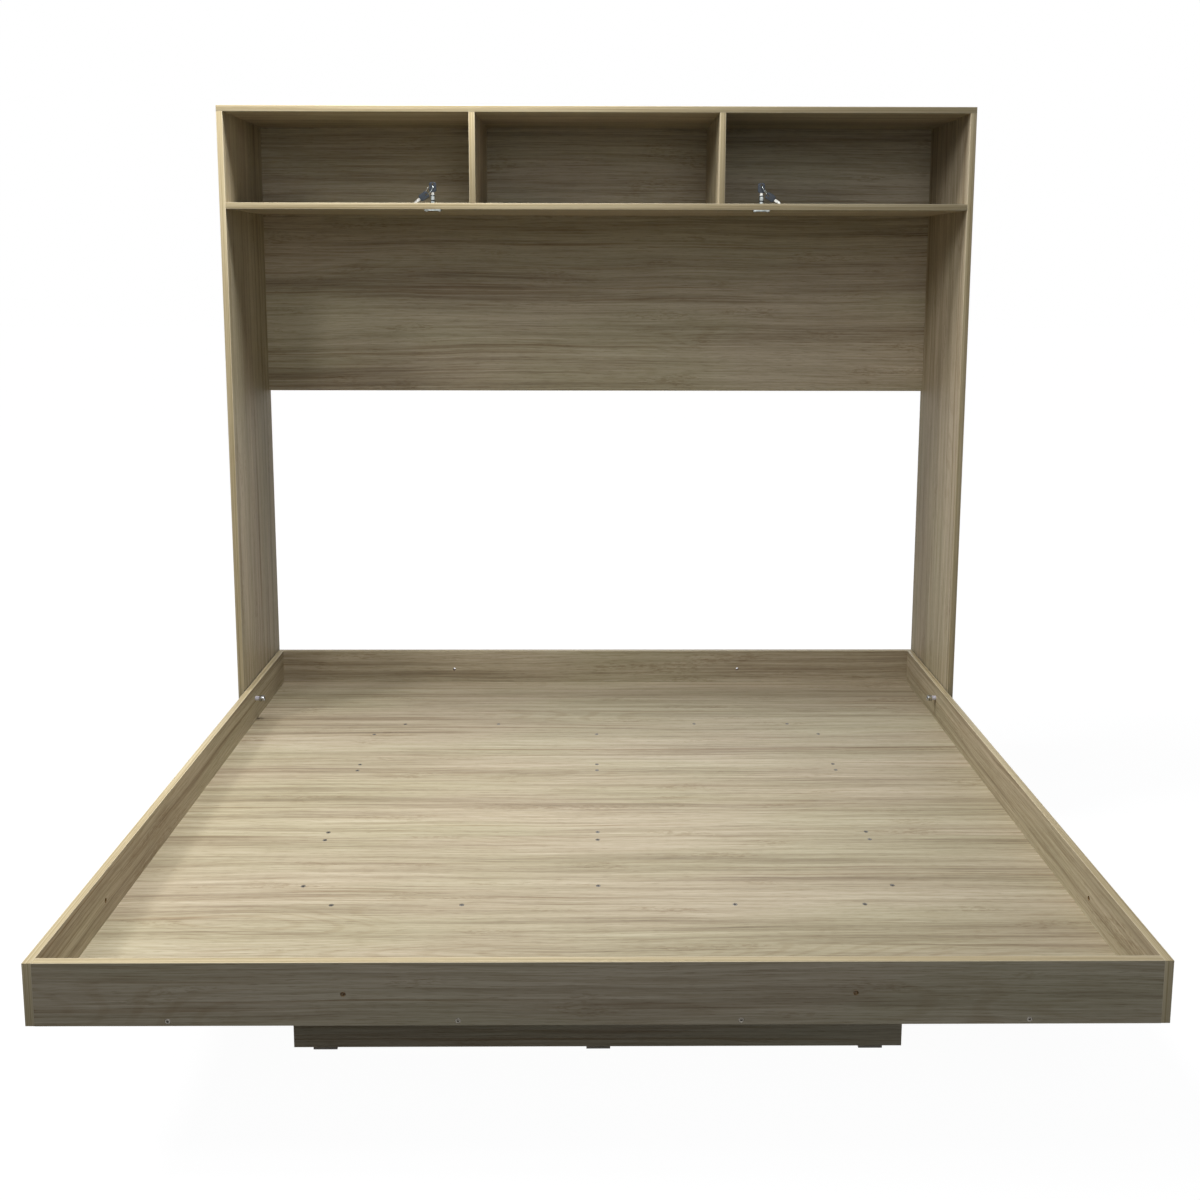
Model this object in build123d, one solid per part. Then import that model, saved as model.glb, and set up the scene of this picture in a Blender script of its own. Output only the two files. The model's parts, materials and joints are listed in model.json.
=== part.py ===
from build123d import *
import math
import os

# A horizontal wall bed, folded down. A shallow bed box is carried between the two sides of a
# cabinet on a pair of pivot screws, and two key locks in a shelf hold it up when it is folded.
# X runs along the bed's wide side, Y from its foot to the wall, and Z up from the floor.

# Boards
board = 16.0  # every laminated board
band = 1.0  # the strips glued on the edges that show

# Bed box
bed_width = 1940.0  # over the two side rails
bed_length = 1656.0  # over the foot and head rails
rail_height = 114.0
middle_board_length = 368.0  # the narrow one of the three base boards, measured along Y

# Support box under the bed, and what it stands on
support_width = 1224.0
support_spacing = 946.0  # middle of the front board to middle of the back board
support_height = 284.0
glide_height = 5.0
glide_width = 48.0
glide_inset = 63.0  # middle of an outer glide from the end of its board

# Cabinet
side_gap = 3.0  # between a side rail and the cabinet side beside it
wall_gap = 15.0  # between the head rail and the wall
compartment_height = 233.0
back_panel_drop = 514.0  # how far the back panel reaches down from the shelf's underside
lower_rail_height = 100.0
foot_pad_height = 3.0
foot_pad_length = 40.0
foot_pad_inset = 40.0

# Where the bed turns
head_overhang = 320.0  # from the pivot to the outside of the head rail
pivot_setback = 40.0  # behind the front edges of the cabinet sides
pivot_drop = 36.0  # below the top of the side rails
closing_gap = 12.0  # between the raised foot rail and the shelf

# Pivot screw, its threaded insert and its bush
pivot_radius = 5.0
pivot_head_radius = 8.0
pivot_head_height = 12.0
pivot_socket = 8.0  # across the flats
pivot_socket_depth = 5.0
insert_radius = 6.0
insert_length = 12.5
insert_flange_radius = 12.0
insert_flange = 1.5
spacer_radius = 12.0
bush_radius = 6.0
bush_projection = 12.0  # how far the bush stands out of the rail's inner face
running_gap = 0.05  # between a shaft and its bearing
play = 0.3  # between pieces that pass or nearly touch

# Wood screws with a socket head
screw_length = 50.0
screw_radius = 3.5
screw_head_radius = 5.0
screw_head_rim = 0.8
screw_head_height = 5.0
screw_socket = 4.0
screw_socket_depth = 3.0

# Places of the wood screws
base_row_screws = (272.0, 531.0)  # from the middle, along the front and back boards
column_end_inset = 73.0  # first column screw from the middle of the front or back board
seam_screw_inset = 18.0  # screws on both sides of a seam between base boards
rail_edge_screws = (240.0, 730.0)  # foot and head rails into the base boards, from the middle
rail_corner_screws = (40.0, 90.0)  # side rails into foot and head rails, above the rails' bottom
side_edge_inset = 90.0  # side rails into each base board, from the board's edges
support_corner_screws = (60.0, 224.0)  # above the bottom of the support boards
panel_screw_inset = 60.0  # from the front and back edges of a cabinet board
back_screw_inset = 70.0  # from the lower and upper edges of the back panel
lower_rail_screw_inset = 25.0
side_hole_inset = 302.0  # from the foot end of a side rail to its bolt hole

# Locks in the shelf
lock_spacing = 866.0  # between the two lock axes
strike_radius = 4.5
flange_width = 45.0
flange_depth = 26.0
flange_thickness = 4.0
flange_corner = 4.0
barrel_radius = 6.6
barrel_height = 22.3  # above the shelf
barrel_groove = 0.6
core_radius = 4.5
core_length = 17.7
bolt_radius = 4.0
bolt_length = 24.0
bolt_chamfer = 1.0
lock_screw_spacing = 34.0
lock_screw_radius = 1.75
lock_screw_length = 14.0
lock_screw_head_radius = 3.5
lock_screw_head_height = 2.2

# Keys
key_head_width = 19.0
key_head_height = 26.0
key_head_thickness = 4.0
key_head_corner = 5.0
key_hole_radius = 2.8
key_hole_inset = 5.5  # middle of the hole below the top of the head
key_neck = 6.4  # blade that shows between the lock and the head
key_insertion = 11.6
key_tang = 8.0  # blade inside the head
blade_width = 6.4
blade_thickness = 2.0
shoulder_width = 8.4
shoulder_height = 1.7
bit_depths = (1.2, 2.0, 0.8, 1.6)
keyway_gap = 0.1
head_groove_width = 1.0
head_groove_depth = 0.4
ring_radius = 15.0
ring_wire = 0.9
ring_lean = 33.0  # line between the two key holes, in degrees from the vertical
ring_twist = {"left": 30.0, "right": 14.0}  # turn of the ring about that line

# Places worked out from the sizes above
foot_reach = bed_length - head_overhang
cabinet_depth = pivot_setback + head_overhang + wall_gap
pivot_y = (foot_reach - head_overhang - wall_gap) / 2
foot_y = pivot_y - foot_reach
head_y = pivot_y + head_overhang
front_y = pivot_y - pivot_setback
back_y = front_y + cabinet_depth

rail_bottom = glide_height + support_height
rail_top = rail_bottom + rail_height
base_top = rail_bottom + board
pivot_z = rail_top - pivot_drop
shelf_bottom = pivot_z + foot_reach + closing_gap
shelf_top = shelf_bottom + board
top_bottom = shelf_top + compartment_height
top_top = top_bottom + board
back_bottom = shelf_bottom - back_panel_drop

rail_x = bed_width / 2
tray_x = rail_x - board
inner_x = rail_x + side_gap
outer_x = inner_x + board
divider_x = (inner_x - board) / 3 + board / 2  # three equal compartments
tray_y = (foot_y + head_y) / 2
seam_half = middle_board_length / 2
row_half = support_spacing / 2
support_x = support_width / 2
column_x = support_x - board / 2

lock_x = lock_spacing / 2
strike_z = rail_bottom + rail_height / 2
lock_y = pivot_y - (pivot_z - strike_z)
barrel_top = shelf_top + barrel_height
key_hole_z = key_neck + key_head_height - key_hole_inset


def slab(low, high):
    """A square-edged board between two corners."""
    size = [b - a for a, b in zip(low, high)]
    middle = [(a + b) / 2 for a, b in zip(low, high)]
    return Pos(*middle) * Box(*size)


def banded(low, high, sides):
    """A board cut back on each named side, and the strips that make up its size again."""
    low, high, strips = list(low), list(high), []
    for side in sides:
        axis = "xyz".index(side[1])
        strip_low, strip_high = list(low), list(high)
        if side[0] == "-":
            strip_high[axis] = low[axis] = low[axis] + band
        else:
            strip_low[axis] = high[axis] = high[axis] - band
        strips.append(slab(strip_low, strip_high))
    return slab(low, high), strips


def turned(profile):
    """A turned piece from its half profile, as radius and height."""
    return revolve(make_face(Plane.XZ * Polyline(*profile, close=True)), Axis.Z)


def hexagon(across_flats, depth):
    """A hexagonal plug, from the plane Z = 0 downwards."""
    return Pos(0, 0, -depth) * extrude(RegularPolygon(across_flats / math.sqrt(3), 6), depth)


def screw_envelope():
    """The space that a wood screw fills, with its head's face at Z = 0."""
    return turned([
        (0, 0),
        (screw_head_radius, 0),
        (screw_head_radius, -screw_head_rim),
        (screw_radius, -screw_head_height),
        (screw_radius, -screw_length),
        (0, -screw_length),
    ])


def placed(shape, point, outward):
    """A copy of a piece that is drawn along Z, with its face at a point and facing outward."""
    return Plane(origin=point, z_dir=outward).location * shape


class Screws:
    """A group of wood screws, and the holes they fill."""

    envelope = screw_envelope()
    screw = envelope - hexagon(screw_socket, screw_socket_depth)

    def __init__(self, places):
        self.holes = [placed(self.envelope, point, outward) for point, outward in places]
        self.solids = [placed(self.screw, point, outward) for point, outward in places]

    def drill(self, piece):
        """The piece with the holes of those screws that reach it."""
        box = piece.bounding_box()
        reached = [hole for hole in self.holes if overlaps(box, hole.bounding_box())]
        return piece.cut(*reached) if reached else piece


def overlaps(a, b):
    """Whether two bounding boxes share some space."""
    low = (max(a.min.X, b.min.X), max(a.min.Y, b.min.Y), max(a.min.Z, b.min.Z))
    high = (min(a.max.X, b.max.X), min(a.max.Y, b.max.Y), min(a.max.Z, b.max.Z))
    return all(h - l > 0 for l, h in zip(low, high))


def mirrored_pairs(values):
    """Each distance on both sides of the middle."""
    return [sign * value for value in values for sign in (-1, 1)]


def pivot_hole(side, radius, inner, outer):
    """A round hole along X on the pivot axis, between two distances from the middle."""
    return Pos(side * (inner + outer) / 2, pivot_y, pivot_z) * Rot(0, 90, 0) * Cylinder(
        radius, outer - inner)


def base_board_edges():
    """The Y range of each of the three boards that fill the bed box."""
    cuts = (foot_y + board, tray_y - seam_half, tray_y + seam_half, head_y - board)
    return dict(zip(("foot", "middle", "head"), zip(cuts, cuts[1:])))


# The bed box: four rails round three base boards

def base_screw_places():
    """Screws down through the base boards into the support box."""
    down = [(x, tray_y + end, base_top) for x in mirrored_pairs(base_row_screws)
            for end in (-row_half, row_half)]
    columns = (row_half - column_end_inset, seam_half + seam_screw_inset,
               seam_half - seam_screw_inset)
    down += [(x, tray_y + y, base_top) for x in (-column_x, 0, column_x)
             for y in mirrored_pairs(columns)]
    return [(point, (0, 0, 1)) for point in down]


def rail_corner_places():
    """Screws through the side rails into the ends of the foot and head rails."""
    return [((side * rail_x, y, rail_bottom + z), (side, 0, 0)) for side in (-1, 1)
            for y in (foot_y + board / 2, head_y - board / 2) for z in rail_corner_screws]


def rail_base_places():
    """Screws through the four rails into the edges of the base boards."""
    z = rail_bottom + board / 2
    places = [((x, y, z), (0, way, 0)) for x in mirrored_pairs(rail_edge_screws)
              for y, way in ((foot_y, -1), (head_y, 1))]
    for start, end in base_board_edges().values():
        places += [((side * rail_x, y, z), (side, 0, 0)) for side in (-1, 1)
                   for y in (start + side_edge_inset, end - side_edge_inset)]
    return places


def side_rail(side):
    """A side rail: it runs the whole length, so its ends show beside the foot and head rails.

    Besides the pivot hole it has a bolt hole near the foot, which this bed leaves free."""
    low, high = sorted((side * tray_x, side * rail_x))
    rail, strips = banded((low, foot_y, rail_bottom), (high, head_y, rail_top),
                          ("+z", "-y", "+y"))
    bolt_hole = Rot(0, 90, 0) * Cylinder(strike_radius, board)
    rail -= Pos(side * (rail_x - board / 2), foot_y + side_hole_inset, strike_z) * bolt_hole
    return rail - pivot_hole(side, bush_radius, tray_x, rail_x), strips


def cross_rail(start):
    """The foot or head rail: both are the same part, with two holes for the lock bolts."""
    rail, strips = banded((-tray_x, start, rail_bottom), (tray_x, start + board, rail_top), ("+z",))
    hole = Rot(90, 0, 0) * Cylinder(strike_radius, board)
    for x in (-lock_x, lock_x):
        rail -= Pos(x, start + board / 2, strike_z) * hole
    return rail, strips


def bed_box(nodes):
    """Adds the rails, the base boards and their screws."""
    base = Screws(base_screw_places())
    corner = Screws(rail_corner_places())
    edge = Screws(rail_base_places())
    rails = {
        "left_side_rail": side_rail(-1),
        "right_side_rail": side_rail(1),
        "foot_rail": cross_rail(foot_y),
        "head_rail": cross_rail(head_y - board),
    }
    for name, (rail, strips) in rails.items():
        nodes[name] = edge.drill(corner.drill(rail))
    nodes["side_rail_bands"] = rails["left_side_rail"][1] + rails["right_side_rail"][1]
    nodes["cross_rail_bands"] = rails["foot_rail"][1] + rails["head_rail"][1]
    for name, (start, end) in base_board_edges().items():
        piece = slab((-tray_x, start, rail_bottom), (tray_x, end, base_top))
        nodes[name + "_base_board"] = edge.drill(base.drill(piece))
    nodes["base_screws"] = base.solids
    nodes["rail_corner_screws"] = corner.solids
    nodes["rail_edge_screws"] = edge.solids
    return base


# The support box: front and back boards with three boards between them

def support_boards():
    """Each board of the support box with its edge strips."""
    low_z, high_z = glide_height, rail_bottom
    boards = {}
    for name, middle in (("front", tray_y - row_half), ("back", tray_y + row_half)):
        low = (-support_x, middle - board / 2, low_z)
        high = (support_x, middle + board / 2, high_z)
        boards[name] = banded(low, high, ("-z", "-x", "+x"))
    inside = row_half - board / 2
    for name, middle in (("left", -column_x), ("centre", 0), ("right", column_x)):
        low = (middle - board / 2, tray_y - inside, low_z)
        high = (middle + board / 2, tray_y + inside, high_z)
        boards[name] = banded(low, high, ("-z",))
    return boards


def support_box(nodes, base):
    """Adds the support boards, their screws, strips and glides."""
    reach = row_half + board / 2
    places = [((x, tray_y + way * reach, glide_height + z), (0, way, 0))
              for x in (-column_x, 0, column_x) for way in (-1, 1) for z in support_corner_screws]
    corner = Screws(places)
    strips = []
    for name, (piece, edges) in support_boards().items():
        nodes["support_" + name + "_board"] = corner.drill(base.drill(piece))
        strips += edges
    nodes["support_bands"] = strips
    nodes["support_screws"] = corner.solids
    outer = support_x - glide_inset
    nodes["support_glides"] = [
        slab((x - glide_width / 2, tray_y + y - board / 2, 0),
             (x + glide_width / 2, tray_y + y + board / 2, glide_height))
        for x in (-outer, 0, outer) for y in (-row_half, row_half)]


# The cabinet: two sides, a top, the lock shelf, two dividers and two boards at the back

def cabinet_boards():
    """Each cabinet board with its edge strips."""
    boards = {}
    for name, side in (("left", -1), ("right", 1)):
        low, high = sorted((side * inner_x, side * outer_x))
        panel, strips = banded((low, front_y, foot_pad_height), (high, back_y, top_bottom), ("-y",))
        panel -= pivot_hole(side, insert_radius, inner_x, outer_x)
        panel -= pivot_hole(side, insert_flange_radius, outer_x - insert_flange, outer_x)
        boards[name + "_side_panel"] = panel, strips
        middle = side * divider_x
        boards[name + "_divider"] = banded(
            (middle - board / 2, front_y, shelf_top),
            (middle + board / 2, back_y - board, top_bottom), ("-y",))
    boards["top_panel"] = banded((-outer_x, front_y, top_bottom), (outer_x, back_y, top_top),
                                 ("-y", "-x", "+x"))
    shelf, strips = banded((-inner_x, front_y, shelf_bottom), (inner_x, back_y - board, shelf_top),
                           ("-y",))
    boards["lock_shelf"] = shelf, strips
    boards["back_panel"] = banded((-inner_x, back_y - board, back_bottom),
                                  (inner_x, back_y, top_bottom), ("-z",))
    low = (-inner_x, back_y - board, foot_pad_height)
    high = (inner_x, back_y, foot_pad_height + lower_rail_height)
    boards["lower_back_rail"] = banded(low, high, ("+z",))
    return boards


def cabinet_screw_places():
    """Screws through the top, the sides and the shelf into what they carry."""
    ends = (front_y + panel_screw_inset, back_y - board - panel_screw_inset)
    side_middle = inner_x + board / 2
    places = [((x, y, top_top), (0, 0, 1)) for y in ends
              for x in mirrored_pairs((divider_x, side_middle))]
    places += [((x, y, shelf_bottom), (0, 0, -1)) for y in ends
               for x in mirrored_pairs((divider_x,))]
    into_back = (back_bottom + back_screw_inset, top_bottom - back_screw_inset,
                 foot_pad_height + lower_rail_screw_inset,
                 foot_pad_height + lower_rail_height - lower_rail_screw_inset)
    for side in (-1, 1):
        points = [(side * outer_x, y, shelf_bottom + board / 2) for y in ends]
        points += [(side * outer_x, back_y - board / 2, z) for z in into_back]
        places += [(point, (side, 0, 0)) for point in points]
    return places


def cabinet(nodes):
    """Adds the cabinet boards, their strips, screws and foot pads."""
    screws = Screws(cabinet_screw_places())
    boards = cabinet_boards()
    for name, (piece, edges) in boards.items():
        nodes[name] = screws.drill(piece)
    for x in (-lock_x, lock_x):
        hole = Pos(x, lock_y, shelf_bottom + board / 2) * Cylinder(barrel_radius + play, board)
        nodes["lock_shelf"] -= hole
        for offset in (-lock_screw_spacing / 2, lock_screw_spacing / 2):
            nodes["lock_shelf"] -= Pos(x + offset, lock_y, shelf_bottom) * Cylinder(
                lock_screw_radius, 2 * (lock_screw_length - flange_thickness))
    for name in ("side_panel", "divider"):
        nodes[name + "_bands"] = boards["left_" + name][1] + boards["right_" + name][1]
    for name in ("top_panel", "lock_shelf", "back_panel", "lower_back_rail"):
        nodes[name + "_band"] = boards[name][1]
    nodes["cabinet_screws"] = screws.solids
    nodes["foot_pads"] = [
        slab((min(side * inner_x, side * outer_x), y - foot_pad_length / 2, 0),
             (max(side * inner_x, side * outer_x), y + foot_pad_length / 2, foot_pad_height))
        for side in (-1, 1) for y in (front_y + foot_pad_inset, back_y - foot_pad_inset)]


# The pivots: a socket screw from inside the bed box into a threaded insert in the cabinet side

def pivot_parts(nodes):
    """Adds the insert, spacer and screw of each pivot, and the bush in the side rail."""
    bush_end = tray_x - bush_projection
    head_start = bush_end - play
    head_end = head_start - pivot_head_height
    shank_end = outer_x - play
    insert_inner = outer_x - insert_flange - insert_length
    bush = turned([
        (pivot_radius + running_gap, bush_end),
        (bush_radius, bush_end),
        (bush_radius, rail_x),
        (pivot_radius + running_gap, rail_x),
    ])
    spacer = turned([
        (pivot_radius, rail_x + play),
        (spacer_radius, rail_x + play),
        (spacer_radius, inner_x),
        (pivot_radius, inner_x),
    ])
    insert = turned([
        (pivot_radius, insert_inner),
        (insert_radius, insert_inner),
        (insert_radius, outer_x - insert_flange),
        (insert_flange_radius, outer_x - insert_flange),
        (insert_flange_radius, outer_x),
        (pivot_radius, outer_x),
    ])
    rim = pivot_head_radius / 8
    screw = turned([
        (0, head_end),
        (pivot_head_radius - rim, head_end),
        (pivot_head_radius, head_end + rim),
        (pivot_head_radius, head_start),
        (pivot_radius, head_start),
        (pivot_radius, shank_end),
        (0, shank_end),
    ])
    socket = Pos(0, 0, head_end + pivot_socket_depth) * hexagon(pivot_socket, pivot_socket_depth)
    pieces = {
        "pivot_screws": screw - socket,
        "pivot_inserts": insert,
        "pivot_spacers": spacer,
        "pivot_bushes": bush,
    }
    for name, piece in pieces.items():
        nodes[name] = [placed(piece, (0, pivot_y, pivot_z), (side, 0, 0)) for side in (-1, 1)]


# The locks: a flanged housing under the shelf, a turning core, a bolt, and a pair of keys on a ring

def lock_housing():
    """The housing, from its flange under the shelf to the top of its barrel."""
    height = board + barrel_height
    groove = barrel_radius - barrel_groove
    upper = height - 0.15 * barrel_height
    lower = height - 0.75 * barrel_height
    width = 0.12 * barrel_height
    barrel = turned([
        (0, 0), (barrel_radius, 0),
        (barrel_radius, lower), (groove, lower), (groove, lower + width),
        (barrel_radius, lower + width), (barrel_radius, upper), (groove, upper),
        (groove, upper + width / 2), (barrel_radius, upper + width / 2),
        (barrel_radius, height - barrel_groove), (groove, height), (0, height),
    ])
    flange = extrude(RectangleRounded(flange_width, flange_depth, flange_corner), -flange_thickness)
    housing = flange + barrel
    housing -= Pos(0, 0, height - core_length / 2) * Cylinder(core_radius + running_gap, core_length)
    bore = height - core_length + flange_thickness
    housing -= Pos(0, 0, bore / 2 - flange_thickness) * Cylinder(bolt_radius + running_gap, bore)
    for x in (-lock_screw_spacing / 2, lock_screw_spacing / 2):
        housing -= Pos(x, 0, -flange_thickness / 2) * Cylinder(lock_screw_radius, flange_thickness)
    return housing


def lock_screw():
    """A round-headed screw up through the flange into the shelf."""
    dome = lock_screw_head_height * 0.7
    return turned([
        (0, -flange_thickness - lock_screw_head_height),
        (lock_screw_head_radius * 0.7, -flange_thickness - lock_screw_head_height),
        (lock_screw_head_radius, -flange_thickness - lock_screw_head_height + dome),
        (lock_screw_head_radius, -flange_thickness),
        (lock_screw_radius, -flange_thickness),
        (lock_screw_radius, lock_screw_length - flange_thickness),
        (0, lock_screw_length - flange_thickness),
    ])


def key_blade():
    """A flat blade in the XZ plane: tang, neck and shoulder above Z = 0, cut bits below."""
    half, shoulder = blade_width / 2, shoulder_width / 2
    step = (key_insertion - half) / len(bit_depths)
    points = [(-half, key_neck + key_tang), (-half, play + shoulder_height)]
    points += [(-shoulder, play + shoulder_height), (-shoulder, play), (-half, play)]
    for index, depth in enumerate(bit_depths):
        start = -step * (index + 0.2)
        points += [(-half, start), (-half + depth, start - step / 2)]
    points += [(-half, -key_insertion + half), (0, -key_insertion), (half, -key_insertion + half)]
    points += [(half, play), (shoulder, play), (shoulder, play + shoulder_height)]
    points += [(half, play + shoulder_height), (half, key_neck + key_tang)]
    outline = make_face(Plane.XZ * Polyline(*points, close=True))
    return extrude(outline, blade_thickness / 2, both=True)


def key_head(blade):
    """The moulded head round the tang, with a grip line and a hole for the ring."""
    middle = key_neck + key_head_height / 2
    outline = RectangleRounded(key_head_width, key_head_height, key_head_corner)
    head = extrude(Plane.XZ * Pos(0, middle) * outline, key_head_thickness / 2, both=True)
    hole = Pos(0, 0, key_hole_z) * Rot(90, 0, 0) * Cylinder(key_hole_radius, key_head_thickness)
    for y in (-key_head_thickness / 2, key_head_thickness / 2):
        head -= Pos(0, y, middle - head_groove_width) * Box(
            key_head_width, 2 * head_groove_depth, head_groove_width)
    return head - hole - blade


def keyed_core():
    """The turning core of the lock, with its top at Z = 0 and the slot for the key."""
    slot = Pos(0, 0, -(key_insertion + keyway_gap) / 2) * Box(
        blade_width + 2 * keyway_gap, blade_thickness + 2 * keyway_gap, key_insertion + keyway_gap)
    length = core_length - play
    return Pos(0, 0, -length / 2) * Cylinder(core_radius, length) - slot


def ring_slack(tilt):
    """How far from the middle of a key's hole the wire lies, when it all but bears on the rim."""
    half = key_head_thickness / 2
    room = key_hole_radius - play - ring_wire / math.cos(tilt)
    bow = ring_radius - math.sqrt(ring_radius ** 2 - (half / math.cos(tilt)) ** 2)
    return math.sqrt(room ** 2 - (half * math.tan(tilt)) ** 2) - bow


def spare_lean(height):
    """The spare key's angle from the vertical, when its tip all but touches the shelf."""
    reach = key_hole_z + key_insertion - blade_width / 2
    half = blade_width / 2
    return math.degrees(math.atan2(half, reach) + math.acos((height - play) / math.hypot(reach, half)))


def key_set(side, twist, blade, head):
    """The key in the lock, its ring, and the spare key that hangs outward from the ring."""
    base = Pos(side * lock_x, lock_y, barrel_top)
    lean = math.radians(ring_lean)
    along = Vector(side * math.sin(lean), 0, -math.cos(lean))
    across = Vector(side * math.cos(lean), 0, math.sin(lean))
    hole = Vector(side * lock_x, lock_y, barrel_top + key_hole_z)
    tilt = math.radians(twist)
    tangent = Vector(0, 1, 0) * math.cos(tilt) + across * math.sin(tilt)
    slack = ring_slack(tilt)
    middle = hole + along * (slack + ring_radius)
    ring = placed(Torus(ring_radius, ring_wire), middle, along.cross(tangent))
    spare_hole = middle + along * (ring_radius + slack)
    angle = -side * spare_lean(spare_hole.Z - shelf_top)
    hang = Pos(*spare_hole) * Rot(0, angle, 0) * Pos(0, 0, -key_hole_z)
    return {
        "key_blade": base * blade,
        "key_head": base * head,
        "key_ring": ring,
        "spare_key_blade": hang * blade,
        "spare_key_head": hang * head,
    }


def lock_parts(nodes):
    """Adds both locks with their screws and keys."""
    housing, core, screw, blade = lock_housing(), keyed_core(), lock_screw(), key_blade()
    head = key_head(blade)
    bolt = Cylinder(bolt_radius, bolt_length)
    bolt = chamfer(bolt.faces().sort_by(Axis.Z)[0].edges(), bolt_chamfer)
    screws = []
    for name, side in (("left", -1), ("right", 1)):
        at_shelf = Pos(side * lock_x, lock_y, shelf_bottom)
        nodes[name + "_lock_housing"] = at_shelf * housing
        nodes[name + "_lock_core"] = Pos(side * lock_x, lock_y, barrel_top) * core
        nodes[name + "_lock_bolt"] = at_shelf * Pos(0, 0, bolt_length / 2 - flange_thickness) * bolt
        screws += [at_shelf * Pos(x, 0, 0) * screw
                   for x in (-lock_screw_spacing / 2, lock_screw_spacing / 2)]
        for piece, shape in key_set(side, ring_twist[name], blade, head).items():
            nodes[name + "_" + piece] = shape
    nodes["lock_screws"] = screws


nodes = {}
support_box(nodes, bed_box(nodes))
cabinet(nodes)
pivot_parts(nodes)
lock_parts(nodes)

os.makedirs("parts", exist_ok=True)
for name, shape in nodes.items():
    export_step(Compound(shape) if isinstance(shape, list) else shape, f"parts/{name}.step")
print(len(nodes), "nodes")
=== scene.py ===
import itertools
import json
import math

import bmesh
import bpy
from mathutils import Matrix, Vector


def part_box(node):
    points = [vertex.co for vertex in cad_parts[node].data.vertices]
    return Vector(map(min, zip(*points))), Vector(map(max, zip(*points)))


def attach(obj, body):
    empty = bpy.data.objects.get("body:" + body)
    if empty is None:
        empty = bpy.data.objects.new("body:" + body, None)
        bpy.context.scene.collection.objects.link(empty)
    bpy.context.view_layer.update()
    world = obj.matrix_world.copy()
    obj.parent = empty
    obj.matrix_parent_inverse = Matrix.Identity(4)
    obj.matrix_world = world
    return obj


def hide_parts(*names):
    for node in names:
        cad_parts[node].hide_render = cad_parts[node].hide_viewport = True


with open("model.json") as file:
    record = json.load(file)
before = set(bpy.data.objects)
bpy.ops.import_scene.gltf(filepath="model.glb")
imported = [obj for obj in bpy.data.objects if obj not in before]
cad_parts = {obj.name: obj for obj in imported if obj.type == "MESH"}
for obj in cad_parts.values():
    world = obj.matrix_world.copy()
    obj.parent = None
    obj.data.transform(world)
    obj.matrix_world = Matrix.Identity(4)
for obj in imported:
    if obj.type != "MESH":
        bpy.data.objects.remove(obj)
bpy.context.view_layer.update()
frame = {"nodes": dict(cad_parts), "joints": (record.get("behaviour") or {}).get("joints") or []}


# The place the bed is seen from: head height, in front of the foot rail and level with its middle.
# The picture is cropped, so the lens axis meets it above its middle.
picture_size = 1200  # pixels
focal_length = 1182.9  # pixels
axis_row = 425  # pixel row that the lens axis meets
camera_place = Vector((-0.016, -2.691, 1.556))
camera_dip = math.radians(7.436)
camera_turn = math.radians(-0.442)
camera_roll = math.radians(0.114)

camera_data = bpy.data.cameras.new("camera")
camera_data.sensor_width = 36
camera_data.lens = camera_data.sensor_width * focal_length / picture_size
camera_data.shift_y = (axis_row - picture_size / 2) / picture_size
camera = bpy.data.objects.new("camera", camera_data)
bpy.context.collection.objects.link(camera)
camera.matrix_world = (
    Matrix.Translation(camera_place)
    @ Matrix.Rotation(camera_turn, 4, "Z")
    @ Matrix.Rotation(math.pi / 2 - camera_dip, 4, "X")
    @ Matrix.Rotation(camera_roll, 4, "Z")
)
bpy.context.scene.camera = camera


# The base of the bed box: three chipboard panels, coated on both faces with an oak print that runs
# across the bed. They are screwed down to the support box, edge to edge.
oak_light = (207, 195, 171)
oak_middle = (191, 178, 153)
oak_brown = (170, 156, 132)
oak_dark = (144, 129, 107)
chip_light = (176, 148, 104)
chip_dark = (104, 78, 48)


def colour(red, green, blue):
    """A colour from the values between 0 and 255 that a screen shows."""
    return tuple(((value / 255 + 0.055) / 1.055) ** 2.4 for value in (red, green, blue)) + (1.0,)


def added(tree, kind, inputs=None, **settings):
    """A shader node with its settings made, and each given input linked or set."""
    made = tree.nodes.new(kind)
    for name, value in settings.items():
        setattr(made, name, value)
    for name, value in (inputs or {}).items():
        if isinstance(value, bpy.types.NodeSocket):
            tree.links.new(value, made.inputs[name])
        else:
            made.inputs[name].default_value = value
    return made


def worked(tree, operation, first, second=0.0):
    """One step of arithmetic."""
    return added(tree, "ShaderNodeMath", {0: first, 1: second}, operation=operation).outputs[0]


def eased(tree, value, low, high, start=0.0, end=1.0):
    """A smooth step from one value to another while the input goes from low to high."""
    limits = {"Value": value, "From Min": low, "From Max": high, "To Min": start, "To Max": end}
    step = added(tree, "ShaderNodeMapRange", limits, interpolation_type="SMOOTHSTEP")
    return step.outputs["Result"]


def mixed(tree, mode, factor, first, second):
    """Two colours put together as one of the paint modes says."""
    mix = added(tree, "ShaderNodeMix", {0: factor, 6: first, 7: second},
                data_type="RGBA", blend_type=mode)
    return mix.outputs[2]


def graded(tree, factor, stops):
    """A colour for each value of the factor, from pairs of place and colour."""
    ramp = added(tree, "ShaderNodeValToRGB", {"Fac": factor})
    marks = ramp.color_ramp.elements
    while len(marks) < len(stops):
        marks.new(1.0)
    for mark, (place, shade) in zip(marks, stops):
        mark.position = place
        mark.color = colour(*shade)
    return ramp.outputs["Color"]


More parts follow.
